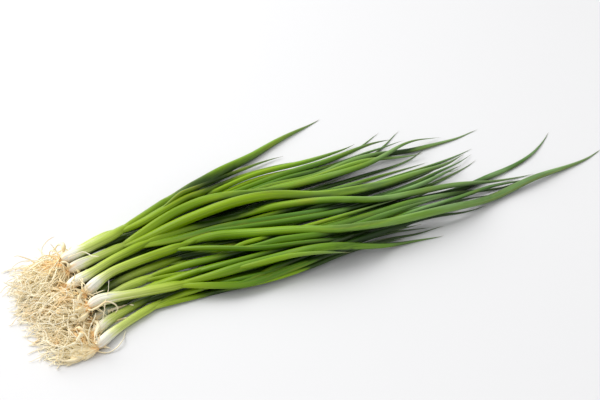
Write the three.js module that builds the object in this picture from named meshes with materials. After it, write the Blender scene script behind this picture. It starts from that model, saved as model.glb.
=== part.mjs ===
// A bunch of spring onions lying loose on a table, roots at -X and leaf tips at +X, +Z up, in millimetres.
//
// Every plant is a root tuft, a white bulb that runs up into a pale shank, and two leaves that part from
// the top of the shank. The rods are laid on the table one at a time. Each has a chosen route in plan.
// It rolls sideways into the nearest groove, and sags until it rests on the table and on whatever was
// laid before it.
import * as THREE from 'three';

// Radii and lengths of a plant of size 1.
const ROOT_RADIUS = 3.4;
const BULB_RADIUS = 3.7;
const BULB_LENGTH = 22;
const SHANK_RADIUS = 3.1;
const LEAF_RADIUS = 3.0;
const LEAF_START_RADIUS = 1.2;
const LEAF_TIP_RADIUS = 0.5;
const LEAF_SWELL = 60; // length over which a leaf opens to its full width
const LEAF_TAPER = 28; // how many of its radii a leaf takes to narrow to its tip
const BULB_SWELL = 7; // length over which the bulb swells above the root plate

// How closely the tubes are divided.
const SIDES = 6;
const STATION_STEP = 4;
const CURVE_SAMPLES = 1600;
const LEAF_RINGS = 18;
const SHANK_RINGS = 8;
const ROOT_RINGS = 4;

// How the rods lie on each other.
const CLEARANCE = 0.8;
const END_GAP = 0.5; // between a shank and the leaves and roots at its ends
const START_SPREAD = 1.6; // how far from the shank's axis its leaves start
const LEAD_IN = 30; // how far back along its shank a leaf's curve is steered from
const HELD_STATIONS = 2; // stations at a leaf's start that follow the shank
const SAG = 0.0025; // how far a rod drops in each pass of settling
const PASSES = 8000;
const ROLL_STEP = 1; // sideways shifts that a rod tries
const ROLL_STEPS = 5;
const ROLL_SMOOTHING = 12; // passes that even out the sideways shifts
const BEND_COST = 2;
const SHIFT_COST = 0.02;

const COLOURS = { roots: 0xd9c08c, shank: 0xdfe6b8, leaf: 0x4f8f2c };
const ROUGHNESS = 0.45;
const FACET = Math.cos(Math.PI / SIDES); // how far a facet lies from its tube's axis, for radius 1
const UP = new THREE.Vector3(0, 0, 1);

// The plants are laid in two courses, and in each course all the shanks come before the leaves. Every
// shank runs in plan from the root plate to where its leaves part, and `roots` is the far end of its
// root tuft. Every leaf grows from a shank, numbered from 1, and runs from that shank's end to its tip.
// `side` is where it starts on the end: 1 left, -1 right.
const COURSES = [
  {
    shanks: [
      { size: 0.9, roots: [-188, -84], route: [[-168, -75], [-158, -69], [-145, -63], [-124, -56]] },
      { size: 0.9, roots: [-190, -74], route: [[-166, -64], [-157, -58], [-146, -54], [-126, -49]] },
      { size: 0.9, roots: [-189, -64], route: [[-164, -54], [-155, -51], [-146, -48], [-130, -43]] },
      { size: 0.95, roots: [-191, -55], route: [[-163, -46], [-150, -41], [-137, -36], [-119, -34]] },
      {
        size: 1, roots: [-197, -46],
        route: [[-167, -38], [-156, -34], [-142, -30], [-118, -27], [-102, -26]],
      },
      { size: 0.95, roots: [-199, -37], route: [[-167, -31], [-154, -27], [-140, -23], [-120, -20]] },
      { size: 0.9, roots: [-199, -27], route: [[-167, -24], [-154, -20], [-140, -16], [-120, -13]] },
      { size: 1, roots: [-197, -18], route: [[-166, -15], [-152, -12], [-140, -7], [-124, -2]] },
      { size: 0.95, roots: [-196, -12], route: [[-167, -8], [-154, -4], [-140, 0], [-122, 5]] },
      { size: 1, roots: [-194, -5], route: [[-168, -1], [-158, 5], [-146, 11], [-127, 16]] },
    ],
    leaves: [
      {
        shank: 1, side: -1, size: 0.7,
        route: [[-86, -60], [-51, -65], [-15, -64], [10, -61], [45, -64], [78, -72]],
      },
      {
        shank: 2, side: -1, size: 0.9,
        route: [[-85, -54], [-48, -57], [1, -60], [31, -62], [60, -61], [75, -58]],
      },
      {
        shank: 3, side: -1, size: 0.8,
        route: [[-90, -46], [-45, -50], [10, -52], [60, -53], [100, -58], [119, -57]],
      },
      {
        shank: 4, side: -1, size: 0.85,
        route: [[-85, -39], [-50, -45], [0, -47], [50, -46], [100, -50], [130, -54]],
      },
      {
        shank: 5, side: -1, size: 1,
        route: [
          [-85, -32], [-45, -36], [0, -37], [43, -38], [75, -38], [105, -41], [129, -37], [169, -30],
          [190, -20], [207, -5],
        ],
      },
      {
        shank: 5, side: 1, size: 0.9,
        route: [
          [-70, -26], [-28, -29], [5, -33], [37, -33], [70, -31], [100, -25], [122, -21], [139, -13],
        ],
      },
      {
        shank: 6, side: -1, size: 0.75,
        route: [[-80, -22], [-20, -24], [40, -25], [95, -21], [121, -25]],
      },
      { shank: 6, side: 1, size: 0.9, route: [[-80, -16], [-20, -18], [40, -18], [85, -16], [120, -12]] },
      {
        shank: 7, side: -1, size: 0.8,
        route: [[-85, -10], [-20, -11], [50, -11], [105, -9], [128, -6], [146, -3]],
      },
      { shank: 7, side: 1, size: 0.85, route: [[-85, -4], [-20, -4], [40, -4], [75, -3], [104, -3]] },
      {
        shank: 8, side: -1, size: 0.8,
        route: [[-85, 2], [-20, 3], [15, 3], [48, 3], [68, 3], [91, 5], [111, 11]],
      },
      {
        shank: 8, side: 1, size: 0.7,
        route: [[-90, 7], [-20, 10], [35, 10], [60, 16], [76, 25], [92, 33], [108, 39]],
      },
      { shank: 9, side: 1, size: 0.85, route: [[-85, 13], [-45, 19], [0, 24], [50, 24], [100, 25]] },
      {
        shank: 10, side: -1, size: 0.75,
        route: [[-85, 20], [-50, 26], [-22, 32], [21, 30], [49, 32], [67, 35], [81, 44], [92, 46]],
      },
      { shank: 10, side: 1, size: 0.8, route: [[-102, 22], [-80, 29], [-60, 37], [-30, 47], [-12, 49]] },
      {
        shank: 9, side: -1, size: 1.1,
        route: [[-78, 5], [-40, 11], [-11, 19], [25, 20], [60, 18], [95, 15], [139, 15], [160, 14]],
      },
      { shank: 4, side: 1, size: 0.95, route: [[-60, -35], [0, -38], [60, -42], [120, -49], [160, -55]] },
      { shank: 3, side: 1, size: 0.8, route: [[-90, -43], [-40, -46], [30, -49], [90, -53], [118, -57]] },
      { shank: 2, side: 1, size: 0.9, route: [[-85, -49], [-40, -51], [30, -52], [80, -52], [118, -56]] },
      { shank: 1, side: 1, size: 0.75, route: [[-90, -56], [-33, -60], [30, -60], [70, -65]] },
    ],
  },
  {
    shanks: [
      {
        size: 1.05, roots: [-190, -62],
        route: [[-164, -48], [-155, -46], [-147, -47], [-132, -49], [-105, -52]],
      },
      {
        size: 1.05, roots: [-193, -50],
        route: [[-165, -36], [-154, -29], [-144, -23], [-125, -19], [-94, -18]],
      },
      { size: 1, roots: [-203, -38], route: [[-171, -31], [-155, -26], [-138, -17], [-116, -9]] },
      { size: 1, roots: [-206, -24], route: [[-168, -14], [-152, -11], [-140, -7], [-127, -2]] },
      { size: 1.1, roots: [-203, -14], route: [[-170, -8], [-154, -4], [-142, 2], [-126, 11]] },
    ],
    leaves: [
      {
        shank: 13, side: -1, size: 0.95,
        route: [
          [-84, -10], [-53, -14], [-22, -20], [20, -26], [75, -26], [105, -22], [125, -18], [141, -12],
        ],
      },
      {
        shank: 14, side: 1, size: 1.1,
        route: [
          [-93, 5], [-76, 8], [-60, 9], [-41, 8], [-6, 12], [20, 10], [55, 6], [74, 9], [97, 15],
          [128, 18],
        ],
      },
      {
        shank: 15, side: -1, size: 0.9,
        route: [[-98, 10], [-78, 14], [-60, 24], [-44, 34], [-20, 39], [12, 39], [32, 32]],
      },
      {
        shank: 11, side: -1, size: 0.85,
        route: [[-72, -61], [-28, -62], [20, -59], [60, -56], [98, -58], [119, -57]],
      },
      {
        shank: 11, side: 1, size: 1.15,
        route: [[-84, -57], [-50, -60], [-18, -64], [13, -68], [44, -68], [74, -71]],
      },
      {
        shank: 13, side: 1, size: 1.05,
        route: [[-89, -5], [-60, -4], [-17, -9], [26, -26], [66, -34], [106, -41], [134, -42], [166, -42]],
      },
      {
        shank: 12, side: -1, size: 0.7,
        route: [
          [-80, -31], [-60, -43], [-27, -52], [18, -59], [60, -56], [109, -46], [147, -46], [166, -50],
          [173, -57],
        ],
      },
      {
        shank: 12, side: 1, size: 1.15,
        route: [
          [-70, -21], [-38, -38], [-3, -56], [32, -60], [75, -59], [115, -54], [152, -49], [180, -47],
          [212, -44], [231, -39],
        ],
      },
      {
        shank: 14, side: -1, size: 1.25,
        route: [[-79, 1], [-45, 4], [-13, 2], [12, -10], [55, -18], [90, -16], [115, -13], [135, -8]],
      },
      {
        shank: 15, side: 1, size: 1.4,
        route: [
          [-104, 15], [-83, 22], [-62, 30], [-37, 41], [-15, 52], [4, 61], [22, 68], [40, 73], [58, 79],
        ],
      },
    ],
  },
];

// A radius along a rod, from knots of [distance, radius] joined by smooth steps.
function radiusAt(knots, distance) {
  const next = knots.findIndex(([end]) => end >= distance);
  if (next <= 0) return knots.at(next)[1];
  const [from, before] = knots[next - 1];
  const [to, after] = knots[next];
  return THREE.MathUtils.lerp(before, after, THREE.MathUtils.smoothstep(distance, from, to));
}

// Stations at an equal step along the plan curve through some points, between two of the points.
function stationsAlong(points, first, last, radiusOf) {
  const curve = planCurve(points);
  const stations = [];
  const previous = curve.getPoint(first / (points.length - 1));
  let travelled = 0;
  for (let sample = 0; sample <= CURVE_SAMPLES; sample++) {
    const index = THREE.MathUtils.lerp(first, last, sample / CURVE_SAMPLES);
    const centre = curve.getPoint(index / (points.length - 1));
    travelled += centre.distanceTo(previous);
    previous.copy(centre);
    if (travelled < stations.length * STATION_STEP) continue;
    stations.push({ centre, radius: radiusOf(travelled), distance: travelled });
  }
  return stations;
}

// The lowest height at which a station clears the table and the rods already laid.
function lowestHeight(station, obstacles) {
  let height = station.radius * FACET;
  for (const rod of obstacles) {
    for (let i = 1; i < rod.length; i++) {
      const from = rod[i - 1];
      const to = rod[i];
      const alongX = to.centre.x - from.centre.x;
      const alongY = to.centre.y - from.centre.y;
      const awayX = station.centre.x - from.centre.x;
      const awayY = station.centre.y - from.centre.y;
      const share = (awayX * alongX + awayY * alongY) / (alongX ** 2 + alongY ** 2);
      const nearest = THREE.MathUtils.clamp(share, 0, 1);
      const sideways = Math.hypot(awayX - nearest * alongX, awayY - nearest * alongY);
      const reach = station.radius + THREE.MathUtils.lerp(from.radius, to.radius, nearest) + CLEARANCE;
      if (sideways >= reach) continue;
      const under = THREE.MathUtils.lerp(from.centre.z, to.centre.z, nearest);
      height = Math.max(height, under + Math.sqrt(reach ** 2 - sideways ** 2));
    }
  }
  return height;
}

// Rolls a rod sideways into the lowest groove near its route. Every station tries each shift, and the
// cheapest chain of shifts is kept: low, near the route, and with small changes between stations.
function rollSideways(stations, obstacles, held) {
  const shifts = Array.from({ length: 2 * ROLL_STEPS + 1 }, (_, i) => (i - ROLL_STEPS) * ROLL_STEP);
  const normals = stations.map((_, i) => {
    const before = stations[Math.max(i - 1, 0)].centre;
    const after = stations[Math.min(i + 1, stations.length - 1)].centre;
    return new THREE.Vector3(before.y - after.y, after.x - before.x, 0).normalize();
  });
  const choices = [];
  let costs = shifts.map((shift) => (shift === 0 ? 0 : Infinity));
  for (let i = held; i < stations.length; i++) {
    const { centre, radius } = stations[i];
    const best = shifts.map((shift) => {
      const moves = shifts.map((from, index) => costs[index] + BEND_COST * (shift - from) ** 2);
      const from = moves.indexOf(Math.min(...moves));
      const moved = { centre: centre.clone().addScaledVector(normals[i], shift), radius };
      return { from, cost: moves[from] + lowestHeight(moved, obstacles) + SHIFT_COST * shift ** 2 };
    });
    choices.push(best.map(({ from }) => from));
    costs = best.map(({ cost }) => cost);
  }
  let index = costs.indexOf(Math.min(...costs));
  const chosen = new Array(stations.length).fill(0);
  for (let i = stations.length - 1; i >= held; i--) {
    chosen[i] = shifts[index];
    index = choices[i - held][index];
  }
  for (let pass = 0; pass < ROLL_SMOOTHING; pass++) {
    for (let i = Math.max(held, 1); i < chosen.length - 1; i++) {
      chosen[i] = (chosen[i - 1] + 2 * chosen[i] + chosen[i + 1]) / 4;
    }
  }
  stations.forEach((station, i) => station.centre.addScaledVector(normals[i], chosen[i]));
}

// Lets a rod sag onto what lies under it. Its first `held` stations keep the heights they have. Every
// other station is drawn to the height that keeps a thin beam through its neighbours at rest.
function settle(stations, obstacles, held) {
  const lowest = stations.map((station) => lowestHeight(station, obstacles));
  const z = stations.map((station, i) => (i < held ? station.centre.z : lowest[i]));
  const end = z.length - 1;
  const restOf = (i) => {
    if (i === 0) return 2 * z[1] - z[2];
    if (i === end) return 2 * z[end - 1] - z[end - 2];
    if (i === 1) return (2 * z[0] + 4 * z[2] - z[3]) / 5;
    if (i === end - 1) return (2 * z[end] + 4 * z[end - 2] - z[end - 3]) / 5;
    return (4 * (z[i - 1] + z[i + 1]) - z[i - 2] - z[i + 2]) / 6;
  };
  for (let pass = 0; pass < PASSES; pass++) {
    for (let i = held; i <= end; i++) z[i] = Math.max(lowest[i], restOf(i) - SAG);
  }
  stations.forEach((station, i) => station.centre.setZ(z[i]));
  return stations;
}

// The centre, radius and direction of a rod at some distance along it.
function rodAt(stations, distance) {
  const start = stations[0].distance;
  const place = THREE.MathUtils.clamp((distance - start) / STATION_STEP, 0, stations.length - 1);
  const index = Math.min(Math.floor(place), stations.length - 2);
  const from = stations[index];
  const to = stations[index + 1];
  const share = place - index;
  return {
    centre: from.centre.clone().lerp(to.centre, share),
    radius: THREE.MathUtils.lerp(from.radius, to.radius, share),
    direction: to.centre.clone().sub(from.centre).normalize(),
  };
}

// A closed tube along part of a rod. A pointed tube ends on its axis, and any other in a flat face.
function tube(name, stations, from, to, rings, pointed, colour) {
  const profile = [new THREE.Vector2(0, from)];
  for (let ring = 0; ring <= rings; ring++) {
    const distance = THREE.MathUtils.lerp(from, to, ring / rings);
    const ends = pointed && ring === rings;
    profile.push(new THREE.Vector2(ends ? 0 : rodAt(stations, distance).radius, distance));
  }
  if (!pointed) profile.push(new THREE.Vector2(0, to));
  const geometry = new THREE.LatheGeometry(profile, SIDES, Math.PI / SIDES);
  const position = geometry.getAttribute('position');
  const vertex = new THREE.Vector3();
  for (let i = 0; i < position.count; i++) {
    vertex.fromBufferAttribute(position, i);
    const { centre, direction } = rodAt(stations, vertex.y);
    const sideways = direction.clone().cross(UP).normalize();
    const upwards = sideways.clone().cross(direction);
    centre.addScaledVector(sideways, vertex.x).addScaledVector(upwards, vertex.z);
    position.setXYZ(i, centre.x, centre.y, centre.z);
  }
  geometry.computeVertexNormals();
  const material = new THREE.MeshStandardMaterial({ color: colour, roughness: ROUGHNESS, metalness: 0 });
  const mesh = new THREE.Mesh(geometry, material);
  mesh.name = name;
  return mesh;
}

// The plan curve through some points.
function planCurve(points) {
  return new THREE.CatmullRomCurve3(points.map(([x, y]) => new THREE.Vector3(x, y, 0)));
}

// Lays a plant's roots, bulb and shank as one rod.
function layShank({ size, roots, route }, laid) {
  const plate = Math.hypot(roots[0] - route[0][0], roots[1] - route[0][1]);
  const knots = [
    [0, ROOT_RADIUS / 2],
    [plate / 2, ROOT_RADIUS],
    [plate, SHANK_RADIUS],
    [plate + BULB_SWELL, BULB_RADIUS],
    [plate + BULB_LENGTH, SHANK_RADIUS],
  ];
  const radiusOf = (distance) => size * radiusAt(knots, distance);
  const stations = stationsAlong([roots, ...route], 0, route.length, radiusOf);
  rollSideways(stations, laid, 0);
  return { plate, stations: settle(stations, laid, 0) };
}

// Lays one leaf from the end of its shank.
function layLeaf({ side, size, route }, shankRod, laid) {
  const end = rodAt(shankRod, Infinity);
  const before = end.centre.clone().addScaledVector(end.direction, -LEAD_IN);
  const points = [[before.x, before.y], [end.centre.x, end.centre.y], ...route];
  const full = size * LEAF_RADIUS;
  const knots = [[0, LEAF_START_RADIUS], [LEAF_SWELL, full]];
  const stations = stationsAlong(points, 1, points.length - 1, (distance) => radiusAt(knots, distance));
  const length = stations.at(-1).distance;
  for (const station of stations) {
    const toTip = Math.min((length - station.distance) / (LEAF_TAPER * full), 1);
    station.radius = Math.max(station.radius * toTip * (2 - toTip), LEAF_TIP_RADIUS);
  }
  const sideways = end.direction.clone().cross(UP).normalize();
  for (const { centre, distance } of stations) {
    const parting = 1 - THREE.MathUtils.smoothstep(distance, 0, LEAF_SWELL);
    centre.addScaledVector(sideways, -side * START_SPREAD * parting);
    centre.z = end.centre.z + end.direction.z * distance;
  }
  rollSideways(stations, laid, HELD_STATIONS);
  return settle(stations, laid, HELD_STATIONS);
}

const bunch = new THREE.Group();
const laid = [];
const shankRods = [];
const leafCounts = new Map();
for (const { shanks, leaves } of COURSES) {
  for (const shank of shanks) {
    const { plate, stations } = layShank(shank, laid);
    const number = String(shankRods.push(stations)).padStart(2, '0');
    laid.push(stations);
    bunch.add(tube(`roots_${number}`, stations, 0, plate - END_GAP, ROOT_RINGS, false, COLOURS.roots));
    const end = stations.at(-1).distance;
    bunch.add(tube(`stem_${number}`, stations, plate, end, SHANK_RINGS, false, COLOURS.shank));
  }
  for (const leaf of leaves) {
    const shankRod = shankRods[leaf.shank - 1];
    const rod = layLeaf(leaf, shankRod, laid.filter((other) => other !== shankRod));
    laid.push(rod);
    const count = leafCounts.get(leaf.shank) ?? 0;
    leafCounts.set(leaf.shank, count + 1);
    const name = `leaf_${String(leaf.shank).padStart(2, '0')}${'ab'[count]}`;
    bunch.add(tube(name, rod, END_GAP, rod.at(-1).distance, LEAF_RINGS, true, COLOURS.leaf));
  }
}

// The origin is at the middle of the bunch, on the table.
const box = new THREE.Box3().setFromObject(bunch);
const middle = box.getCenter(new THREE.Vector3());
bunch.position.set(-middle.x, -middle.y, -box.min.z);

export default bunch;
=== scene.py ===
"""The looks of a loose bunch of spring onions: roots, white bulbs, pale shanks and long green leaves.

Every leaf and shank follows the centre line and the radii of its own CAD rod. The roots start at the
root plate of their plant's shank, and stand for its root tuft. Young leaves have no rod: they lie along
an older leaf. Lengths are in metres, as in the frame, and MM turns millimetres into metres.
"""
import math

import bpy
import numpy as np
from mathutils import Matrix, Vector


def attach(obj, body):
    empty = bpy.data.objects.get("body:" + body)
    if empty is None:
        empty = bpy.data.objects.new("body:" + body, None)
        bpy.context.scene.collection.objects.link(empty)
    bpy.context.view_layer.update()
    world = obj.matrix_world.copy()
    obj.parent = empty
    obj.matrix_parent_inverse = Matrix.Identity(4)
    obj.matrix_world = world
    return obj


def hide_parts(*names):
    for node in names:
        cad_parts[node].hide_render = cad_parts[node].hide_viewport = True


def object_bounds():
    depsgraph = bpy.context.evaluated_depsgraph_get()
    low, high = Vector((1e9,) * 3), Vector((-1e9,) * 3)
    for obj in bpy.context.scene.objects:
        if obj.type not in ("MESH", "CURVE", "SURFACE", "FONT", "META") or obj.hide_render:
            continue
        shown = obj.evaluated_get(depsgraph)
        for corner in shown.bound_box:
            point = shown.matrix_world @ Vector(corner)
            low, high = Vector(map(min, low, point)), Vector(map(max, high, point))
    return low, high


MM = 0.001
UP = np.array([0.0, 0.0, 1.0])
SEED = 7

# Reading the CAD rods, and dividing them anew.
SAME_PLACE = 0.1 * MM  # the middle of a flat end lies closer than this to its ring's centre
PLACE_DIGITS = 6  # vertices are told apart to a thousandth of a millimetre
FINE_STEPS = 40  # steps for each ring of a rod when its length is measured
FEWEST_RINGS = 4
EASING_TAIL = 3  # an easing looks this many times its reach to either side

# Leaves.
LEAF_STEP = 2.5 * MM
LEAF_SIDES = 28
LEAF_EASING = 9 * MM  # how widely the bends of a leaf's CAD rod are eased
LEAF_BASE_RADIUS = 2.1 * MM  # a leaf's radius at its shank's end, before LEAF_ROOT_SHARE thins it
LEAF_OPENING = 34 * MM  # it reaches its full radius in this length
LEAF_SWELL = 60 * MM  # the CAD rod takes this length to open
LEAF_HIDDEN = 14 * MM  # how far a leaf reaches down inside its shank
LEAF_ROOT_SHARE = 0.3  # share of its radius that is left at its lowest end
LEAF_CLEAR = 14 * MM  # it has its whole radius from this far past the shank's end
LEAF_TALL = 0.92  # height of a leaf's section, as a share of its width
FLAT_WAVES = (60 * MM, 190 * MM)  # lengths over which a leaf flattens and opens again
FLAT_WAVE_COUNT = 3
FLAT_RANGE = (-0.2, 0.8)  # the mean of those waves where a leaf is full, and where it is flattest
FLAT_WIDER = 0.18  # how much wider a leaf is where it is flattest
FLAT_LOWER = 0.4  # and how much lower
SLIMMING = 0.2  # share of its thickness that every leaf loses along its outer part
SLIMMING_PART = (0.2, 0.8)  # shares of the leaf's length between which it does so
SLENDER_TIP = 110 * MM  # length over which the tip of a thin leaf is drawn out
SLENDER_SHARE = 0.55  # its thickness at its end, as a share of its CAD rod's
SLENDER_RADII = (3.0 * MM, 3.9 * MM)  # a leaf as thick as the second of these has a blunt tip
TIP_HOOK_LENGTH = 34 * MM
TIP_HOOKS = (-2 * MM, 5 * MM)  # how far tips bend aside, mostly to the left of their leaf
FLUTE_DEPTH = 0.06  # share of the radius by which a leaf's section wanders from round
FLUTES = ((2, 1.0, 2.1), (3, 0.6, -3.3))  # ridges round the section, their size, and how they wind
WINDING_LENGTH = 120 * MM  # length in which a winding of 1 moves its ridges on by a radian of their wave
CREASE_DEPTH = 0.2  # share of the radius by which the crease along a leaf is sunk
CREASE_SHARPNESS = 6
CREASE_WANDER = 0.8  # how far the crease swings round the leaf, in radians

# How dark a leaf is, from -1 for lime to 1 for dark green. Leaves that are not listed, and young leaves,
# get a random tint.
RANDOM_TINTS = (-0.6, 1)
LEAF_TINTS = {
    "01a": -0.3, "04a": 0.9, "05a": 0.9, "05b": 0.2, "07b": 0.2, "08b": 0.6, "09a": 0.9, "09b": 0.2,
    "10a": -0.8, "10b": 0.3, "11a": 0.9, "11b": 0.5, "12a": 0.8, "12b": 0.2, "13a": 1.0, "13b": 0.0,
    "14a": 0.0, "14b": -1.0, "15a": -1.0, "15b": 0.0,
}

# Young leaves: thin ones that lie along an older one, and part from it near their tips.
NO_YOUNG_BESIDE = ("05a", "12b", "13b", "14a", "14b", "15b")  # these leaves lie clear on top of the others
YOUNG_SIDES = 14
YOUNG_RADII = (1.4 * MM, 2.3 * MM)
YOUNG_START = 0.12  # share of the older leaf's length where a young leaf starts
YOUNG_ENDS = (0.6, 0.96)  # and where it ends
YOUNG_BASE_SHARE = 0.5  # its thickness at its start, as a share of its full one
YOUNG_TIP = 70 * MM  # length over which it narrows to its tip
YOUNG_POINT = 0.02  # share of that length by which the narrowing stops short of a point
YOUNG_NESTLING = 0.8  # how far it stands off the older leaf, as a share of its own radius
YOUNG_SLOPE = math.radians(40)  # how high up the older leaf's side it may lie
YOUNG_STRAY = 9 * MM  # how far its tip may part from the older leaf
YOUNG_STRAYS = (0.2, 1)  # and the shares of that by which young leaves do part
YOUNG_PARTING = 0.3  # it starts to part this far before its end, as a share of the older leaf's length
YOUNG_PARTING_ON = 0.1  # and would be fully parted this far past its end

# Shanks and bulbs.
SHANK_STEP = 1.0 * MM
SHANK_SIDES = 32
BULB_ROUNDING = 4 * MM
BULB_ROUNDNESS = 0.75  # share of its section that the bulb loses at the root plate
BULB_SLIMMING = (12 * MM, 24 * MM)  # where the bulb narrows to its shank
SHANK_SLIM = 0.9  # the shank above its bulb, as a share of its CAD rod's radius
SHEATH_LENGTH = 12 * MM  # the shank's skin runs on this far between its leaves, and thins out
SHEATH_SLANT = 4 * MM  # how far the sheath's edge slants up on one side and down on the other
SHEATH_WIDE = 1.15  # the sheath's width over its leaves, as a share of the shank's
SHEATH_TALL = 0.95  # and its height
SHEATH_TIP_SHARE = 0.3  # how thin the sheath ends, as a share of that
RIB_COUNT = 7
RIB_DEPTH = 0.012  # share of the radius by which the fine ribs stand out
BULGE_COUNT = 3
BULGE_DEPTH = 0.01  # and the wider bulges
SHANK_PAINTED_SHADE = 0.7  # how much painted shade a shank gets deep in the heap, as a share of what a leaf gets
SHANK_TINTS = (-1, 1)
FAR_FROM_TIP = 200  # millimetres, so that no shank gets the colours of a leaf's tip
GREENING_SEED = 20
GREENING = (-5 * MM, 8 * MM)  # how far a plant's colours are shifted towards its bulb
WHITE_PART = (4 * MM, 20 * MM)  # part of the bulb over which that shift comes in

# Roots.
ROOTS_PER_PLANT = 140
ROOT_STEP = 1.8 * MM
ROOT_SIDES = 4
ROOT_LENGTHS = (12 * MM, 50 * MM)
ROOT_RADIUS = 0.55 * MM
ROOT_TIP_RADIUS = 0.26 * MM
ROOT_THICKNESSES = (0.6, 1.2)  # factors for a root's radii
ROOT_POINT = 0.3  # thickness of a root's last ring, as a share of its tip's
ROOT_TINTS = (-1, 1)
ROOT_PLATE_RADIUS = 2.6 * MM
ROOT_PLATE_PART = (0.1, 1)  # shares of the plate's area between which roots start
ROOT_FIRST_WANDER = 0.2  # how much a root wanders at its start
ROOT_WANDER = 0.37  # how much of its wandering is new in each step
ROOT_MEMORY = 0.74  # and how much is kept from the step before
ROOT_TURN = 0.45  # how strongly the wandering turns a root
ROOT_DROOP = 0.17  # how strongly it sinks in each step
ROOT_LIFT = 0.3  # share of its slope with which a root leaves the table again
ROOT_SPREAD = 0.6  # how strongly the roots of a plant part from each other
ROOT_SPREADS = (0.2, 1.6)  # factors by which single roots do so
ROOT_FLATNESS = 0.3  # how strongly they spread upwards, as a share of how they spread sideways
ROOTS_ASTRAY = 0.12  # share of the roots that start aside or back over their bulb, and turn round
ASTRAY_HEADING = 0.5  # how strongly those still head away from the bulb
ROOTS_MIDDLE = np.array([-222, -20, 3]) * MM  # the roots of all the plants lie towards this place
ROOTS_PULL = 1.0  # how strongly they head towards it at their start
ROOTS_BEND = 0.2  # and how strongly they bend towards it in each step
PULL_FADE = 10 * MM  # the pull has half its strength at this distance from it
ROOTS_MARGIN = np.array([8, -5, 0]) * MM  # how far past the CAD model's box they may reach

# Matted roots: thicker strands of fine hair roots that lie low under the others.
MATS_PER_PLANT = 40
MAT_LENGTHS = (14 * MM, 34 * MM)
MAT_RADIUS = 1.25 * MM
MAT_THINNEST = 0.2 * MM
MAT_LUMPS = 0.3  # how much a mat's thickness varies from ring to ring
MAT_SWELLING = (0.1, 0.98)  # part of a half wave that a mat's thickness follows from end to end
MAT_SINKING = 0.85  # height of a mat, as a share of the height of a root on the same path

# The heap as a field of heights, which sets the painted shade of skins deep in it.
HEAP_CELL = 1 * MM
HEAP_REACH = 4 * MM  # a place is deep in the heap, and gets painted shade, if the heap's mean height within this reach is higher
HEAP_MARGIN = 4 * HEAP_REACH

# Camera: it looks down at the bunch and across it, at a point close to its middle on the table.
CAMERA_AIM = Vector((-11.5, 2.1, 0)) * MM
CAMERA_DISTANCE = 0.7
CAMERA_ELEVATION = math.radians(40)
CAMERA_HEADING = math.radians(25)
CAMERA_LENS = 60

# Lights and floor.
WORLD_STRENGTH = 0.64
WINDOW_PLACE = (-0.7, 1.3, 1.3)  # only its direction counts
WINDOW_STRENGTH = 1.45
WINDOW_WIDTH = math.radians(68)
SOFTBOX_PLACE = (-0.75, 0.8, 0.9)
SOFTBOX_SIZE = 0.9
SOFTBOX_POWER = 11.5
FLOOR_RADIUS = 4
FLOOR_SIDES = 180


def linear(red, green, blue):
    """A shader colour from the 0 to 255 values that it shows as, by the sRGB standard's curve."""
    values = [channel / 255 for channel in (red, green, blue)]
    return [v / 12.92 if v <= 0.04045 else ((v + 0.055) / 1.055) ** 2.4 for v in values] + [1.0]


def smoothstep(value, low, high):
    """0 up to `low`, 1 from `high` on, and a smooth rise between them."""
    share = np.clip((value - low) / (high - low), 0, 1)
    return share * share * (3 - 2 * share)


# ---------------------------------------------------------------- rods of the CAD model


def merged(mesh):
    """The places of a mesh's vertices, each once, and the neighbours of each."""
    index = {}
    found = [index.setdefault(tuple(np.round(v.co, PLACE_DIGITS)), len(index)) for v in mesh.vertices]
    neighbours = [set() for _ in index]
    for edge in mesh.edges:
        a, b = (found[v] for v in edge.vertices)
        if a != b:
            neighbours[a].add(b)
            neighbours[b].add(a)
    return np.array(list(index)), neighbours


def rod_of(node):
    """Centres and radii of a CAD rod's rings, from its root end. Each row is x, y, z, radius.

    The rings are the layers of vertices met on a walk over the mesh from the middle of one end.
    """
    points, neighbours = merged(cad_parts[node].data)
    middles = np.array([points[list(near)].mean(axis=0) for near in neighbours])
    cap = int(np.argmin(np.linalg.norm(middles - points, axis=1)))
    layer = {cap}
    seen = {cap}
    rows = []
    while layer:
        ring = points[list(layer)]
        centre = ring.mean(axis=0)
        radius = np.linalg.norm(ring - centre, axis=1).mean()
        flat_end = radius == 0 and (not rows or np.linalg.norm(centre - rows[-1][:3]) < SAME_PLACE)
        if not flat_end:
            rows.append([*centre, radius])
        layer = {near for vertex in layer for near in neighbours[vertex]} - seen
        seen |= layer
    rows = np.array(rows)
    return rows if rows[0, 0] < rows[-1, 0] else rows[::-1]


def curve_through(rows, places):
    """Values of a Catmull-Rom curve through some rows, at places counted in rows."""
    padded = np.concatenate([2 * rows[:1] - rows[1:2], rows, 2 * rows[-1:] - rows[-2:-1]])
    index = np.minimum(places.astype(int), len(rows) - 2)
    t = (places - index)[:, None]
    before, start, end, after = (padded[index + k] for k in range(4))
    return 0.5 * (
        2 * start
        + (end - before) * t
        + (2 * before - 5 * start + 4 * end - after) * t**2
        + (3 * start - before - 3 * end + after) * t**3
    )


def distances_along(centres):
    """How far along a line each of its points lies."""
    steps = np.linalg.norm(np.diff(centres, axis=0), axis=1)
    return np.concatenate([[0], np.cumsum(steps)])


def resampled(rows, step):
    """The smooth rod through some rows, at an even step, and the distance of each new row."""
    fine = curve_through(rows, np.linspace(0, len(rows) - 1, FINE_STEPS * len(rows)))
    along = distances_along(fine[:, :3])
    wanted = np.linspace(0, along[-1], max(int(along[-1] / step), FEWEST_RINGS))
    return np.stack([np.interp(wanted, along, column) for column in fine.T], axis=1), wanted


def directions_along(centres):
    """Unit directions of a line at each of its points."""
    slopes = np.gradient(centres, axis=0)
    return slopes / np.linalg.norm(slopes, axis=1, keepdims=True)


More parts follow.
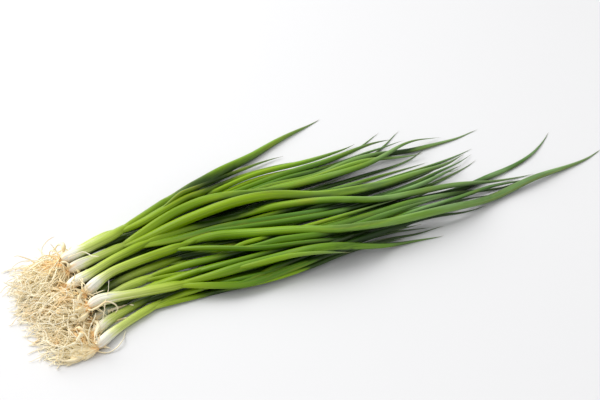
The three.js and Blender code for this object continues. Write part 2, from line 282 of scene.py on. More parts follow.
def lengthened(rows, extra, step):
    """A rod with a straight run added at its far end."""
    slope = directions_along(rows[:, :3])[-1]
    on = np.arange(1, math.ceil(extra / step) + 1)[:, None] * step
    run = np.hstack([rows[-1, :3] + on * slope, np.full_like(on, rows[-1, 3])])
    return np.concatenate([rows, run])


# ---------------------------------------------------------------- the heap as a whole


def heap_heights(nodes):
    """The height of the heap's top over a grid of cells, evened out over HEAP_REACH."""
    low, high = (np.array(corner) for corner in cad_box)
    size = np.ceil((high - low + 2 * HEAP_MARGIN)[:2] / HEAP_CELL).astype(int)
    heights = np.zeros(size)
    origin = (low - HEAP_MARGIN)[:2]
    for node in nodes:
        rows, _ = resampled(rod_of(node), 2 * HEAP_CELL)
        for x, y, z, radius in rows:
            reach = int(radius / HEAP_CELL) + 1
            i, j = ((np.array([x, y]) - origin) / HEAP_CELL).astype(int)
            patch = heights[i - reach : i + reach + 1, j - reach : j + reach + 1]
            np.maximum(patch, z + radius, out=patch)
    reach = int(HEAP_REACH / HEAP_CELL)
    shifts = range(-reach, reach + 1)
    evened = sum(np.roll(heights, (i, j), (0, 1)) for i in shifts for j in shifts) / len(shifts) ** 2
    return evened, origin


def painted_shade_depth(points):
    """How far each point lies below the heap around it, in millimetres: the depth that sets the skins'
    painted shade.
    """
    heights, origin = HEAP
    cells = ((points[..., :2] - origin) / HEAP_CELL).astype(int)
    cells = np.clip(cells, 0, np.array(heights.shape) - 1)
    return (heights[cells[..., 0], cells[..., 1]] - points[..., 2]) / MM


# ---------------------------------------------------------------- skins


def loft(name, rings, looks):
    """A closed skin through rings of points. `looks` holds each attribute's values at those points."""
    count, sides = rings.shape[:2]
    ends = rings[[0, -1]].mean(axis=1)
    points = np.concatenate([rings.reshape(-1, 3), ends])
    ring, side = (grid.ravel() for grid in np.meshgrid(range(count - 1), range(sides), indexing="ij"))
    here = ring * sides + side
    beside = ring * sides + (side + 1) % sides
    walls = np.stack([here, here + sides, beside + sides, beside], axis=1).tolist()
    around = np.arange(sides)
    beyond = (around + 1) % sides
    first = np.full(sides, count * sides)
    top = (count - 1) * sides
    walls += np.stack([first, around, beyond], axis=1).tolist()
    walls += np.stack([first + 1, top + beyond, top + around], axis=1).tolist()
    mesh = bpy.data.meshes.new(name)
    mesh.from_pydata(points.tolist(), [], walls)
    for label, values in looks.items():
        kind, field = ("FLOAT_VECTOR", "vector") if values.ndim == 3 else ("FLOAT", "value")
        flat = values.reshape(count * sides, -1)
        capped = np.concatenate([flat, values[[0, -1]].mean(axis=1).reshape(2, -1)])
        mesh.attributes.new(label, kind, "POINT").data.foreach_set(field, capped.ravel())
    mesh.shade_smooth()
    piece = bpy.data.objects.new(name, mesh)
    bpy.context.scene.collection.objects.link(piece)
    return piece


def rings_around(centres, wide, tall, angles):
    """Rings of points around a rod that lies down, on the table or above it."""
    forward = directions_along(centres)
    sideways = np.cross(forward, UP)
    sideways /= np.linalg.norm(sideways, axis=1, keepdims=True)
    upward = np.cross(sideways, forward)
    across = (wide * np.cos(angles))[..., None] * sideways[:, None]
    rise = (tall * np.sin(angles))[..., None] * upward[:, None]
    rings = centres[:, None] + across + rise
    rings[..., 2] = np.maximum(rings[..., 2], 0)
    return rings


def grain(angles, along, radius):
    """Coordinates across and along a piece's fibres, in millimetres."""
    even = np.ones((len(along), len(angles)))
    across = radius * np.cos(angles) * even
    rise = radius * np.sin(angles) * even
    return np.stack([across, rise, along[:, None] * even], axis=2) / MM


def stand_in(piece, node, material):
    """Makes a piece stand for a CAD node, with that slot's finish."""
    piece.data.materials.append(material)
    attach(piece, "root")
    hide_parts(node)


# ---------------------------------------------------------------- leaves


def eased(centres, reach):
    """A line whose bends are evened out over some length. Its two ends stay where they are."""
    step = np.linalg.norm(centres[1] - centres[0])
    count = int(EASING_TAIL * reach / step)
    weights = np.exp(-0.5 * (np.arange(-count, count + 1) * step / reach) ** 2)
    weights /= weights.sum()
    padded = np.concatenate([
        2 * centres[0] - centres[count:0:-1],
        centres,
        2 * centres[-1] - centres[-2 : -count - 2 : -1],
    ])
    return np.stack([np.convolve(column, weights, "valid") for column in padded.T], axis=1)


def leaf_section(angles, along, chance):
    """How far a leaf's skin stands off its centre line, for radius 1: slow flutes and a long crease."""
    *flute_phases, crease_place, crease_phase = chance.uniform(0, 2 * math.pi, len(FLUTES) + 2)
    turn = along[:, None] / WINDING_LENGTH
    flutes = sum(
        size * np.sin(ridges * angles + phase + winding * turn)
        for (ridges, size, winding), phase in zip(FLUTES, flute_phases)
    )
    crease = crease_place + CREASE_WANDER * np.sin(turn + crease_phase)
    towards_crease = np.cos((angles - crease) / 2)
    return 1 + FLUTE_DEPTH * flutes - CREASE_DEPTH * towards_crease ** (2 * CREASE_SHARPNESS)


def flattening(along, chance):
    """How far a leaf has fallen in at each place along it, from 0 to 1."""
    waves = chance.uniform(*FLAT_WAVES, FLAT_WAVE_COUNT)
    phases = chance.uniform(0, 2 * math.pi, FLAT_WAVE_COUNT)
    rise = np.sin(2 * math.pi * along[:, None] / waves + phases).mean(axis=1)
    return smoothstep(rise, *FLAT_RANGE)


def leaf_rod(node, shank):
    """A leaf's centre line, its CAD radius, and how far along it they are. It starts inside its shank."""
    inside, from_root = resampled(rod_of(shank), LEAF_STEP)
    inside = inside[from_root > from_root[-1] - LEAF_HIDDEN]
    outside, _ = resampled(rod_of(node), LEAF_STEP)
    inside[:, 3] = outside[0, 3]
    rows, along = resampled(np.concatenate([inside, outside]), LEAF_STEP)
    return eased(rows[:, :3], LEAF_EASING), np.maximum(rows[:, 3], 0), along


def leaf_radius(cad_radius, along):
    """The radius of a leaf's skin. It opens past its sheath, slims outwards and is drawn out to its tip."""
    full = cad_radius.max()
    beyond = along - LEAF_HIDDEN
    opened = LEAF_BASE_RADIUS + (full - LEAF_BASE_RADIUS) * smoothstep(beyond, 0, LEAF_OPENING)
    radius = np.where(beyond < LEAF_SWELL, np.maximum(cad_radius, opened), cad_radius)
    radius *= LEAF_ROOT_SHARE + (1 - LEAF_ROOT_SHARE) * smoothstep(beyond, -LEAF_HIDDEN, LEAF_CLEAR)
    slender = 1 - smoothstep(full, *SLENDER_RADII)
    drawn_out = (1 - SLENDER_SHARE) * slender * (1 - smoothstep(along[-1] - along, 0, SLENDER_TIP))
    return radius * (1 - drawn_out) * (1 - SLIMMING * smoothstep(along / along[-1], *SLIMMING_PART))


def hooked(centres, to_tip, chance):
    """A leaf's centre line with its tip bent aside."""
    hook = chance.uniform(*TIP_HOOKS) * smoothstep(to_tip, TIP_HOOK_LENGTH, 0) ** 2
    forward = directions_along(centres)
    left = np.stack([-forward[:, 1], forward[:, 0], np.zeros(len(forward))], axis=1)
    return centres + hook[:, None] * left


def make_leaf(node, shank, start, chance):
    """The skin of a leaf, from inside its shank to its tip. The plant's colours go on from `start`."""
    centres, cad_radius, along = leaf_rod(node, shank)
    beyond = along - LEAF_HIDDEN
    to_tip = along[-1] - along
    radius = leaf_radius(cad_radius, along)
    angles = np.linspace(0, 2 * math.pi, LEAF_SIDES, endpoint=False)
    shape = leaf_section(angles, along, chance)
    centres = hooked(centres, to_tip, chance)
    flat = flattening(along, chance)[:, None]
    wide = (1 + FLAT_WIDER * flat) * radius[:, None] * shape
    tall = LEAF_TALL * (1 - FLAT_LOWER * flat) * radius[:, None] * shape
    sunk = np.clip(cad_radius - tall.mean(axis=1), 0, None) * smoothstep(beyond, 0, LEAF_OPENING)
    centres[:, 2] = np.maximum(centres[:, 2] - sunk, np.minimum(tall.mean(axis=1), centres[:, 2]))
    rings = rings_around(centres, wide, tall, angles)
    even = np.ones_like(shape)
    tint = LEAF_TINTS.get(node[-3:], chance.uniform(*RANDOM_TINTS))
    looks = {
        "along": (beyond[:, None] + start) / MM * even,
        "to_tip": to_tip[:, None] / MM * even,
        "tint": tint * smoothstep(beyond, 0, LEAF_SWELL)[:, None] * even,
        "shift": chance.uniform(*PATTERN_SHIFTS) * even,
        "grain": grain(angles, along, cad_radius.max()),
        "painted_shade_depth": painted_shade_depth(rings),
    }
    piece = loft("skin_" + node, rings, looks)
    stand_in(piece, node, LEAF_SKIN)


def nestled(rows, radius, opening, share, end, chance):
    """The line of a young leaf beside an older one's rod, which it parts from near its tip."""
    older = rows[:, :3]
    sideways = np.cross(directions_along(older), UP)
    sideways /= np.linalg.norm(sideways, axis=1, keepdims=True)
    side = chance.choice([-1, 1])
    slope = chance.uniform(0, YOUNG_SLOPE)
    away = (rows[:, 3] + YOUNG_NESTLING * radius) * opening
    parting = smoothstep(share, end - YOUNG_PARTING, end + YOUNG_PARTING_ON)
    stray = YOUNG_STRAY * chance.uniform(*YOUNG_STRAYS) * parting
    rise = away * math.sin(slope) * (1 - smoothstep(share, end - YOUNG_PARTING, end))
    centres = older + (side * (away * math.cos(slope) + stray))[:, None] * sideways + rise[:, None] * UP
    centres[:, 2] = np.maximum(centres[:, 2], radius)
    return centres


def make_young_leaf(node, start, chance):
    """A thin leaf that lies along the leaf of a CAD node. It has no CAD rod of its own."""
    rows, along = resampled(rod_of(node), LEAF_STEP)
    rows[:, :3] = eased(rows[:, :3], LEAF_EASING)
    share = along / along[-1]
    end = chance.uniform(*YOUNG_ENDS)
    kept = (share >= YOUNG_START) & (share <= end)
    along = along[kept]
    to_tip = along[-1] - along
    full = chance.uniform(*YOUNG_RADII)
    narrowing = np.clip(to_tip / YOUNG_TIP, YOUNG_POINT, 1)
    opening = smoothstep(along - along[0], 0, LEAF_OPENING)
    radius = full * narrowing * (2 - narrowing) * (YOUNG_BASE_SHARE + (1 - YOUNG_BASE_SHARE) * opening)
    centres = nestled(rows[kept], radius, opening, share[kept], end, chance)
    angles = np.linspace(0, 2 * math.pi, YOUNG_SIDES, endpoint=False)
    shape = leaf_section(angles, along, chance)
    rings = rings_around(centres, radius[:, None] * shape, radius[:, None] * shape, angles)
    even = np.ones_like(shape)
    looks = {
        "along": (along[:, None] + start) / MM * even,
        "to_tip": to_tip[:, None] / MM * even,
        "tint": chance.uniform(*RANDOM_TINTS) * even,
        "shift": chance.uniform(*PATTERN_SHIFTS) * even,
        "grain": grain(angles, along, full),
        "painted_shade_depth": painted_shade_depth(rings),
    }
    piece = loft("young_" + node, rings, looks)
    piece.data.materials.append(LEAF_SKIN)
    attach(piece, "root")


# ---------------------------------------------------------------- shanks


def bulb_and_shank(cad_radius, along):
    """A shank's radius, rounded at its root plate and a little slimmer than its rod above the bulb."""
    rounding = np.clip(1 - along / BULB_ROUNDING, 0, 1)
    rounded = cad_radius * np.sqrt(1 - BULB_ROUNDNESS * rounding**2)
    return rounded * (1 + (SHANK_SLIM - 1) * smoothstep(along, *BULB_SLIMMING))


def make_shank(node, greening, chance):
    """The skin of a shank with its bulb. Returns where its leaves start along the plant's colours."""
    rows, _ = resampled(rod_of(node), SHANK_STEP)
    length = distances_along(rows[:, :3])[-1]
    rows, along = resampled(lengthened(rows, SHEATH_LENGTH, SHANK_STEP), SHANK_STEP)
    centres = rows[:, :3]
    radius = bulb_and_shank(rows[:, 3], along)
    covering = smoothstep(along, length - 2 * SHEATH_LENGTH, length - SHEATH_LENGTH / 2)
    ending = smoothstep(along, length - SHEATH_LENGTH / 2, along[-1])
    thinning = 1 + (SHEATH_TIP_SHARE - 1) * ending
    wide = radius * (1 + (SHEATH_WIDE - 1) * covering) * thinning
    tall = radius * (1 + (SHEATH_TALL - 1) * covering) * thinning
    angles = np.linspace(0, 2 * math.pi, SHANK_SIDES, endpoint=False)
    phase = chance.uniform(0, 2 * math.pi)
    ribs = 1 + RIB_DEPTH * np.sin(RIB_COUNT * angles + phase)
    ribs += BULGE_DEPTH * np.sin(BULGE_COUNT * angles - phase)
    rings = rings_around(centres, wide[:, None] * ribs, tall[:, None] * ribs, angles)
    slant = SHEATH_SLANT * ending[:, None] * np.sin(angles + phase)
    rings += slant[..., None] * directions_along(centres)[:, None]
    rings[..., 2] = np.maximum(rings[..., 2], 0)
    even = np.ones((len(along), SHANK_SIDES))
    own_colour = 1 - smoothstep(along, length / 2, length)
    greener = greening * smoothstep(along, *WHITE_PART)
    looks = {
        "along": (along + greener)[:, None] / MM + slant / MM,
        "to_tip": FAR_FROM_TIP * even,
        "tint": chance.uniform(*SHANK_TINTS) * own_colour[:, None] * even,
        "shift": chance.uniform(*PATTERN_SHIFTS) * even,
        "grain": grain(angles, along, radius.max()),
        "painted_shade_depth": SHANK_PAINTED_SHADE * painted_shade_depth(rings),
    }
    piece = loft("skin_" + node, rings, looks)
    stand_in(piece, node, SHANK_SKIN)
    return length + greening


# ---------------------------------------------------------------- roots


def root_paths(plate, heading, count, chance):
    """Centre lines of root fibres. They leave the root plate, wander, droop and lie down."""
    size = (count, 3)
    spread = chance.normal(size=size)
    spread /= np.linalg.norm(spread, axis=1, keepdims=True)
    spread[:, 2] *= ROOT_FLATNESS
    spread -= np.minimum(spread @ heading, 0)[:, None] * heading
    place = plate + ROOT_PLATE_RADIUS * spread * np.sqrt(chance.uniform(*ROOT_PLATE_PART, (count, 1)))
    aim = heading + ROOTS_PULL * towards(ROOTS_MIDDLE, place)
    aim = aim + ROOT_SPREAD * chance.uniform(*ROOT_SPREADS, (count, 1)) * spread
    aside = chance.normal(size=size)
    aside[:, 2] = np.abs(aside[:, 2])
    astray = chance.uniform(size=(count, 1)) < ROOTS_ASTRAY
    aim = np.where(astray, aside + ASTRAY_HEADING * heading, aim)
    wander = ROOT_FIRST_WANDER * chance.normal(size=size)
    lowest = ROOT_RADIUS * ROOT_THICKNESSES[1]
    paths = [place]
    for _ in range(int(ROOT_LENGTHS[1] / ROOT_STEP)):
        wander = ROOT_MEMORY * wander + ROOT_WANDER * chance.normal(size=size)
        aim = aim / np.linalg.norm(aim, axis=1, keepdims=True) + ROOT_TURN * wander - ROOT_DROOP * UP
        aim += ROOTS_BEND * towards(ROOTS_MIDDLE, place)
        aim /= np.linalg.norm(aim, axis=1, keepdims=True)
        place = place + ROOT_STEP * aim
        low = place[:, 2] < lowest
        place[low, 2] = lowest
        aim[low, 2] = ROOT_LIFT * np.abs(aim[low, 2])
        paths.append(place)
    return np.stack(paths, axis=1)


def inside_box(path):
    """The part of a path up to where it leaves the room that the roots have."""
    low, high = (np.array(corner) for corner in cad_box)
    outside = ((path < low - ROOTS_MARGIN) | (path > high + ROOTS_MARGIN)).any(axis=1)
    return path[: int(np.argmax(outside))] if outside.any() else path


def towards(target, places):
    """Directions from some places to a target. They fade out close to it."""
    away = target - places
    return away / (np.linalg.norm(away, axis=1, keepdims=True) + PULL_FADE)


def make_fibres(node, plate, heading, chance):
    """The single root fibres of one plant."""
    fibres = []
    for path in root_paths(plate, heading, ROOTS_PER_PLANT, chance):
        length = chance.uniform(*ROOT_LENGTHS)
        thick = chance.uniform(*ROOT_THICKNESSES)
        centres = inside_box(path[: int(length / ROOT_STEP)])
        share = np.linspace(0, 1, len(centres))
        radius = thick * (ROOT_RADIUS + (ROOT_TIP_RADIUS - ROOT_RADIUS) * share)
        radius[-1] *= ROOT_POINT
        fibres.append(make_strand(node, centres, radius, chance))
    return fibres


def make_mats(node, plate, heading, chance):
    """The matted roots of one plant."""
    mats = []
    for path in root_paths(plate, heading, MATS_PER_PLANT, chance):
        length = chance.uniform(*MAT_LENGTHS)
        centres = inside_box(path[: int(length / ROOT_STEP)])
        half_wave = math.pi * np.linspace(*MAT_SWELLING, len(centres))
        lumps = 1 + MAT_LUMPS * chance.normal(size=len(centres))
        radius = np.maximum(MAT_RADIUS * lumps * np.sin(half_wave), MAT_THINNEST)
        centres[:, 2] = np.maximum(MAT_SINKING * centres[:, 2], radius)
        mats.append(make_strand(node, centres, radius, chance))
    return mats


def make_roots(node, shank, chance):
    """All the fibres and mats of one plant, joined in one piece."""
    shank_rod = rod_of(shank)
    plate = shank_rod[0, :3]
    heading = plate - shank_rod[1, :3]
    heading /= np.linalg.norm(heading)
    fibres = make_fibres(node, plate, heading, chance)
    mats = make_mats(node, plate, heading, chance)
    piece = joined(fibres + mats, "skin_" + node)
    stand_in(piece, node, ROOT_SKIN)


def make_strand(name, centres, radius, chance):
    """The skin of one root fibre or mat."""
    tint = chance.uniform(*ROOT_TINTS)
    forward = directions_along(centres)
    sideways = np.cross(forward, chance.normal(size=3))
    sideways /= np.linalg.norm(sideways, axis=1, keepdims=True)
    upward = np.cross(sideways, forward)
    angles = np.linspace(0, 2 * math.pi, ROOT_SIDES, endpoint=False)
    across = np.cos(angles)[None, :, None] * sideways[:, None]
    rise = np.sin(angles)[None, :, None] * upward[:, None]
    rings = centres[:, None] + radius[:, None, None] * (across + rise)
    rings[..., 2] = np.maximum(rings[..., 2], 0)
    even = np.ones((len(centres), ROOT_SIDES))
    looks = {"along": distances_along(centres)[:, None] / MM * even, "tint": tint * even}
    return loft(name + "_strand", rings, looks)


def joined(pieces, name):
    """One mesh piece made of several."""
    with bpy.context.temp_override(active_object=pieces[0], selected_editable_objects=pieces):
        bpy.ops.object.join()
    pieces[0].name = name
    pieces[0].data.name = name
    return pieces[0]


# ---------------------------------------------------------------- materials


# Distances along a plant or a root, and to a tip, are in millimetres here, as in the skins' attributes.
PLANT_LENGTH = 320  # the colour along a plant is spread over this
PLANT_COLOURS = [
    (0, linear(244, 222, 182)),
    (3, linear(250, 246, 236)),
    (11, linear(247, 248, 228)),
    (17, linear(234, 238, 172)),
    (25, linear(202, 216, 118)),
    (40, linear(178, 200, 78)),
    (60, linear(140, 169, 22)),
    (90, linear(114, 149, 0)),
    (140, linear(132, 172, 8)),
    (220, linear(126, 166, 52)),
    (PLANT_LENGTH, linear(124, 158, 90)),
]
GREEN_PART = (40, 110)  # distance from the root plate over which a plant turns green

# Three noises over the skins of plants. Their scales are those across the fibres, two of them, and the
# one along the fibres.
PATCH_SCALES = (0.08, 0.08, 0.03)
VEIN_SCALES = (2.2, 2.2, 0.012)
STREAK_SCALES = (0.7, 0.7, 0.006)
NOISE_DETAIL = 2.0
STREAK_DETAIL = 1.0
NOISE_RANGE = (0.3, 0.7)  # noise is seldom outside this
PATTERN_SHIFTS = (0, 100)  # each skin shows its own part of the noises, by a shift in this range
PATCH_REACH = 5  # how far the patches move the colours up or down a plant
STREAK_REACH = 6  # and the streaks

# Other colours that cover the plant's own. Each has a share that it covers at most, and the values of a
# tint, a noise or a distance where it starts to show and where it shows fully.
DARK = linear(56, 108, 24)
DARK_TINTS = (-0.1, 1.1)
DARK_SHARE = 0.85
LIME = linear(142, 174, 4)
LIME_TINTS = (0.1, -1)
LIME_SHARE = 0.75
LIME_PART = (250, 90)
YELLOW = linear(150, 156, 26)
YELLOW_PATCHES = (0.58, 0.75)
YELLOW_SHARE = 0.5
# Waxy bloom, whose pale patches on the outer part of the leaves are also a painted sheen.
BLOOM_AND_SHEEN = linear(140, 176, 116)
BLOOM_AND_SHEEN_PATCHES = (0.52, 0.36)
BLOOM_AND_SHEEN_SHARE = 0.6
BLOOM_AND_SHEEN_PART = (150, 260)
WITHERED = linear(152, 144, 48)
WITHERED_STREAKS = (0.6, 0.72)
WITHERED_SHARE = 0.35
TIP = linear(104, 122, 84)
TIP_PART = (45, 4)  # distance to the tip, as in DRY_PART
TIP_SHARE = 0.8
TIP_PATCHES = (0.25, 0.6)
TIP_LEAST = 0.5  # how strong the tip's colour is outside those patches, as a share of that in them
DRY_POINT = linear(132, 124, 92)
DRY_PART = (7, 1)
DRY_SHARE = 0.85
STAIN = linear(226, 184, 128)
STAIN_PATCHES = (0.45, 0.7)
STAIN_SHARE = 0.6
STAIN_PART = (16, 2)

# Colours that the plant's own is multiplied by: lighter and darker veins, and painted shade deep in the
# heap.
VEIN_SHADES = [(0.0, (0.76, 0.79, 0.74, 1)), (1.0, (1.14, 1.12, 1.14, 1))]
# Painted shade, from none to darkest, that skins deep in the heap are multiplied by.
PAINTED_DEPTH_SHADES = [(0.0, (1, 1, 1, 1)), (1.0, (0.1, 0.15, 0.03, 1))]
PAINTED_SHADE_DEPTHS = (1.1, 5.6)  # how deep in the heap the painted shade starts, and where it is darkest

LEAF_ROUGHNESS = 0.31
SHANK_ROUGHNESS = 0.34
ROUGHNESS_CHANGES = (-0.05, 0.07)  # from patch to patch
SPECULAR = 0.32
VEIN_BUMP = {"Strength": 0.28, "Distance": 0.25 * MM}

ROOT_COLOUR_LENGTH = 40  # the colours along a root are spread over this, and given by shares of it
ROOT_COLOURS = [
    (0.0, linear(255, 208, 142)),
    (0.12, linear(255, 239, 197)),
    (0.4, linear(255, 244, 211)),
    (1.0, linear(255, 247, 222)),
]
TAN_ROOT = linear(255, 233, 184)
TAN_TINTS = (0.2, 1)
TAN_SHARE = 0.4
ROOT_STAIN = linear(255, 214, 146)
ROOT_STAIN_SCALE = 0.09 / MM
ROOT_STAIN_PATCHES = (0.55, 0.75)
ROOT_STAIN_SHARE = 0.7
ROOT_SPECK = linear(255, 220, 166)
ROOT_SPECK_SCALE = 0.6 / MM
ROOT_SPECK_PATCHES = (0.55, 0.8)
ROOT_SPECK_SHARE = 0.3
ROOT_ROUGHNESS = 0.6
ROOT_BUMP = {"Strength": 0.3, "Distance": 0.2 * MM}

FLOOR_COLOUR = linear(225, 225, 226)
FLOOR_ROUGHNESS = 0.75

# Places of a mix node's colour sockets.
MIX_SHARE = 0
MIX_FIRST = 6
MIX_SECOND = 7
MIX_RESULT = 2

ANY_PLACE = 0.5  # new stops of a ramp go here until they get their own place


class Nodes:
    """A material's node tree, with short calls for the nodes that the materials share."""

    def __init__(self, name):
        self.material = bpy.data.materials.new(name)
        self.material.use_nodes = True
        self.tree = self.material.node_tree
        self.shader = self.tree.nodes["Principled BSDF"]
        self.finish("Specular IOR Level", SPECULAR)

    def add(self, kind, inputs=None, **settings):
        """A new node of some kind, with its inputs and settings."""
        node = self.tree.nodes.new(kind)
        for label, value in settings.items():
            setattr(node, label, value)
        for label, value in (inputs or {}).items():
            self.put(node.inputs[label], value)
        return node

    def put(self, socket, value):
        """Links a socket to another one, or sets its value."""
        if isinstance(value, bpy.types.NodeSocket):
            self.tree.links.new(value, socket)
        else:
            socket.default_value = value

    def finish(self, label, value):
        """Sets or links one input of the material's shader."""
        self.put(self.shader.inputs[label], value)

    def read(self, label, output="Fac"):
        """The value or the vector of a mesh attribute."""
        return self.add("ShaderNodeAttribute", attribute_name=label).outputs[output]

    def maths(self, operation, first, second):
        """The sum, product or other result of two values."""
        node = self.add("ShaderNodeMath", operation=operation)
        self.put(node.inputs[0], first)
        self.put(node.inputs[1], second)
        return node.outputs[0]

    def spread(self, value, part, results):
        """A value taken from a part of its range to the range of its results, and kept inside that."""
        inputs = {"Value": value, "From Min": part[0], "From Max": part[1]}
        inputs.update({"To Min": results[0], "To Max": results[1]})
        return self.add("ShaderNodeMapRange", inputs).outputs[0]

    def rise(self, value, part, most=1.0):
        """How strongly something shows: from 0 to `most` as a value goes through a part of its range."""
        return self.spread(value, part, (0.0, most))

    def noise(self, place, scale, detail):
        """Noise over some coordinates."""
        inputs = {"Vector": place, "Scale": scale, "Detail": detail}
        return self.add("ShaderNodeTexNoise", inputs).outputs[0]

    def fibrous_noise(self, scales, detail, offset):
        """Noise in the fibre coordinates, with a scale for each of them."""
        place = {"Vector": self.read("grain", "Vector"), "Scale": scales}
        place["Location"] = self.add("ShaderNodeCombineXYZ", dict.fromkeys("XYZ", offset)).outputs[0]
        return self.noise(self.add("ShaderNodeMapping", place).outputs[0], 1.0, detail)

    def ramp(self, value, stops):
        """A colour for a value, from stops of (value, colour) between 0 and 1."""
        node = self.add("ShaderNodeValToRGB", {"Fac": value})
        band = node.color_ramp
        band.interpolation = "EASE"
        while len(band.elements) < len(stops):
            band.elements.new(ANY_PLACE)
        for element, (place, colour) in zip(band.elements, stops):
            element.position = place
            element.color = colour
        return node.outputs[0]

    def mix(self, share, first, second, blend="MIX"):
        """Two colours mixed or blended. The share is the second one's."""
        node = self.add("ShaderNodeMix", data_type="RGBA", blend_type=blend)
        self.put(node.inputs[MIX_SHARE], share)
        self.put(node.inputs[MIX_FIRST], first)
        self.put(node.inputs[MIX_SECOND], second)
        return node.outputs[MIX_RESULT]

    def coat(self, under, colour, *strengths):
        """A colour over another one, as strong as the product of some strengths."""
        share = strengths[0]
        for strength in strengths[1:]:
            share = self.maths("MULTIPLY", share, strength)
        return self.mix(share, under, colour)

    def shade(self, colour, shades):
        """A colour made lighter or darker by another one."""
        return self.mix(1.0, colour, shades, "MULTIPLY")

    def bump(self, height, settings):
        """Gives the shader a relief."""
        relief = self.add("ShaderNodeBump", {"Height": height, **settings})
        self.finish("Normal", relief.outputs[0])


def green_shades(nodes, colour, along, patches, streaks):
    """The colour along a plant with darker, lime, yellow and withered places in its green, and pale patches
    of waxy bloom and painted sheen.
    """
    tint = nodes.read("tint")
    green = nodes.rise(along, GREEN_PART)
    colour = nodes.coat(colour, DARK, nodes.rise(tint, DARK_TINTS, DARK_SHARE), green)
    limy = nodes.rise(tint, LIME_TINTS, LIME_SHARE)
    colour = nodes.coat(colour, LIME, limy, nodes.rise(along, LIME_PART), green)
    colour = nodes.coat(colour, YELLOW, nodes.rise(patches, YELLOW_PATCHES, YELLOW_SHARE), green)
    # Waxy bloom and painted sheen on the outer part of the leaves.
    bloom_and_sheen = nodes.rise(patches, BLOOM_AND_SHEEN_PATCHES, BLOOM_AND_SHEEN_SHARE)
    colour = nodes.coat(colour, BLOOM_AND_SHEEN, bloom_and_sheen, nodes.rise(along, BLOOM_AND_SHEEN_PART))
    return nodes.coat(colour, WITHERED, nodes.rise(streaks, WITHERED_STREAKS, WITHERED_SHARE), green)


def tip_and_stains(nodes, colour, along, patches):
    """A plant's colour with the duller tip of a leaf, its dry point, and stains beside the root plate."""
    to_tip = nodes.read("to_tip")
    uneven = nodes.spread(patches, TIP_PATCHES, (TIP_LEAST, 1))
    colour = nodes.coat(colour, TIP, nodes.rise(to_tip, TIP_PART, TIP_SHARE), uneven)
    colour = nodes.coat(colour, DRY_POINT, nodes.rise(to_tip, DRY_PART, DRY_SHARE))
    stained = nodes.rise(patches, STAIN_PATCHES, STAIN_SHARE)
    return nodes.coat(colour, STAIN, stained, nodes.rise(along, STAIN_PART))


def plant_skin(name, roughness):
    """The skin of a shank or a leaf, white at the root plate and green further up, with fine veins and
    painted shade deep in the heap.
    """
    nodes = Nodes(name)
    shift = nodes.read("shift")
    patches = nodes.fibrous_noise(PATCH_SCALES, NOISE_DETAIL, shift)
    veins = nodes.fibrous_noise(VEIN_SCALES, NOISE_DETAIL, shift)
    streaks = nodes.fibrous_noise(STREAK_SCALES, STREAK_DETAIL, shift)
    along = nodes.read("along")
    along = nodes.maths("ADD", along, nodes.spread(patches, NOISE_RANGE, (-PATCH_REACH, PATCH_REACH)))
    along = nodes.maths("ADD", along, nodes.spread(streaks, NOISE_RANGE, (-STREAK_REACH, STREAK_REACH)))
    stops = [(place / PLANT_LENGTH, shade) for place, shade in PLANT_COLOURS]
    colour = nodes.ramp(nodes.maths("DIVIDE", along, PLANT_LENGTH), stops)
    colour = green_shades(nodes, colour, along, patches, streaks)
    colour = nodes.shade(colour, nodes.ramp(nodes.rise(veins, NOISE_RANGE), VEIN_SHADES))
    # Painted shade: the skin darkens where it lies deep in the heap.
    colour = nodes.shade(colour, nodes.ramp(nodes.rise(nodes.read("painted_shade_depth"), PAINTED_SHADE_DEPTHS), PAINTED_DEPTH_SHADES))
    colour = tip_and_stains(nodes, colour, along, patches)
    nodes.finish("Base Color", colour)
    roughnesses = [roughness + change for change in ROUGHNESS_CHANGES]
    nodes.finish("Roughness", nodes.spread(patches, NOISE_RANGE, roughnesses))
    nodes.bump(veins, VEIN_BUMP)
    return nodes.material


def root_skin():
    """Cream root fibres, browner at the root plate, with tan stains over the whole heap."""
    nodes = Nodes("root_fibre")
    place = nodes.add("ShaderNodeTexCoord").outputs["Object"]
    stains = nodes.noise(place, ROOT_STAIN_SCALE, NOISE_DETAIL)
    specks = nodes.noise(place, ROOT_SPECK_SCALE, NOISE_DETAIL)
    colour = nodes.ramp(nodes.maths("DIVIDE", nodes.read("along"), ROOT_COLOUR_LENGTH), ROOT_COLOURS)
    colour = nodes.coat(colour, TAN_ROOT, nodes.rise(nodes.read("tint"), TAN_TINTS, TAN_SHARE))
    colour = nodes.coat(colour, ROOT_STAIN, nodes.rise(stains, ROOT_STAIN_PATCHES, ROOT_STAIN_SHARE))
    colour = nodes.coat(colour, ROOT_SPECK, nodes.rise(specks, ROOT_SPECK_PATCHES, ROOT_SPECK_SHARE))
    nodes.finish("Base Color", colour)
    nodes.finish("Roughness", ROOT_ROUGHNESS)
    nodes.bump(specks, ROOT_BUMP)
    return nodes.material


# ---------------------------------------------------------------- stage


def make_floor():
    """A plain white table."""
    bpy.ops.mesh.primitive_circle_add(vertices=FLOOR_SIDES, radius=FLOOR_RADIUS, fill_type="NGON")
    floor = bpy.context.object
    floor.name = "floor"
    nodes = Nodes("floor")
    nodes.finish("Base Color", FLOOR_COLOUR)
    nodes.finish("Roughness", FLOOR_ROUGHNESS)
    floor.data.materials.append(nodes.material)


def make_light(name, place, lamp):
    """A light at some place, turned to the middle of the bunch."""
    light = bpy.data.objects.new(name, lamp)
    light.location = place
    light.rotation_euler = (-Vector(place)).to_track_quat("-Z", "Y").to_euler()
    bpy.context.scene.collection.objects.link(light)


def make_window():
    """Broad daylight from behind the bunch, on the side of the roots."""
    lamp = bpy.data.lights.new("window", "SUN")
    lamp.energy = WINDOW_STRENGTH
    lamp.angle = WINDOW_WIDTH
    make_light("window", WINDOW_PLACE, lamp)


def make_softbox():
    """A nearer light that brightens the roots' end and the table behind it."""
    lamp = bpy.data.lights.new("softbox", "AREA")
    lamp.size = SOFTBOX_SIZE
    lamp.energy = SOFTBOX_POWER
    make_light("softbox", SOFTBOX_PLACE, lamp)


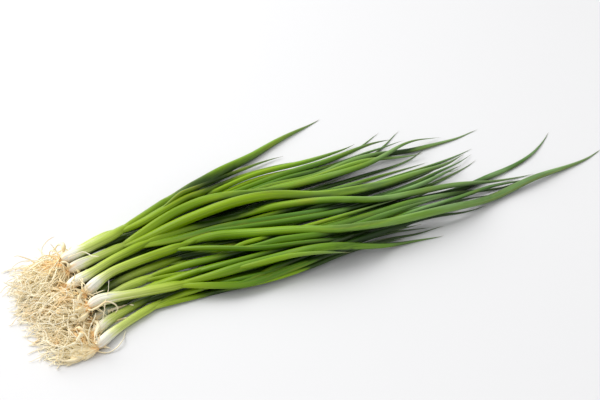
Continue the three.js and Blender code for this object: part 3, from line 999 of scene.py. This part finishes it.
def make_world():
    """An even dim light from all round. Where the camera looks past the floor it sees plain white."""
    world = bpy.data.worlds.new("studio")
    bpy.context.scene.world = world
    world.use_nodes = True
    tree = world.node_tree
    backdrop = tree.nodes["Background"]
    backdrop.inputs["Color"].default_value = (1, 1, 1, 1)
    seen = tree.nodes.new("ShaderNodeLightPath").outputs["Is Camera Ray"]
    strength = tree.nodes.new("ShaderNodeMapRange")
    strength.inputs["To Min"].default_value = WORLD_STRENGTH
    tree.links.new(seen, strength.inputs["Value"])
    tree.links.new(strength.outputs[0], backdrop.inputs["Strength"])


def make_camera():
    """The camera, placed as for the photo."""
    camera = bpy.data.objects.new("camera", bpy.data.cameras.new("camera"))
    flat = math.cos(CAMERA_ELEVATION)
    view = Vector((
        math.sin(CAMERA_HEADING) * flat,
        math.cos(CAMERA_HEADING) * flat,
        -math.sin(CAMERA_ELEVATION),
    ))
    camera.location = CAMERA_AIM - view * CAMERA_DISTANCE
    camera.rotation_euler = view.to_track_quat("-Z", "Y").to_euler()
    camera.data.lens = CAMERA_LENS
    bpy.context.scene.collection.objects.link(camera)
    bpy.context.scene.camera = camera


# ---------------------------------------------------------------- the bunch

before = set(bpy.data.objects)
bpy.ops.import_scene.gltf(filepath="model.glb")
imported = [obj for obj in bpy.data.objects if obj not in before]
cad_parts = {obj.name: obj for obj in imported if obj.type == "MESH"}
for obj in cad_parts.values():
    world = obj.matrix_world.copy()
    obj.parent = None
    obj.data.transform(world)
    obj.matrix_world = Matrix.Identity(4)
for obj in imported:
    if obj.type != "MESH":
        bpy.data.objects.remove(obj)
cad_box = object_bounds()
bpy.context.scene.view_settings.view_transform = "Standard"

LEAF_SKIN = plant_skin("leaf", LEAF_ROUGHNESS)
SHANK_SKIN = plant_skin("shank", SHANK_ROUGHNESS)
ROOT_SKIN = root_skin()

shank_names = sorted(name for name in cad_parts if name.startswith("stem_"))
HEAP = heap_heights(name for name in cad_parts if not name.startswith("roots_"))
greenings = np.random.RandomState(GREENING_SEED).uniform(*GREENING, len(shank_names))
for number, shank in enumerate(shank_names):
    luck = np.random.RandomState(SEED + number)
    plant = shank[-2:]
    leaves_start = make_shank(shank, greenings[number], luck)
    make_roots("roots_" + plant, shank, luck)
    for leaf in sorted(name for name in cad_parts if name.startswith("leaf_" + plant)):
        make_leaf(leaf, shank, leaves_start, luck)
        if leaf[-3:] not in NO_YOUNG_BESIDE:
            make_young_leaf(leaf, leaves_start, luck)

make_floor()
make_window()
make_softbox()
make_world()
make_camera()
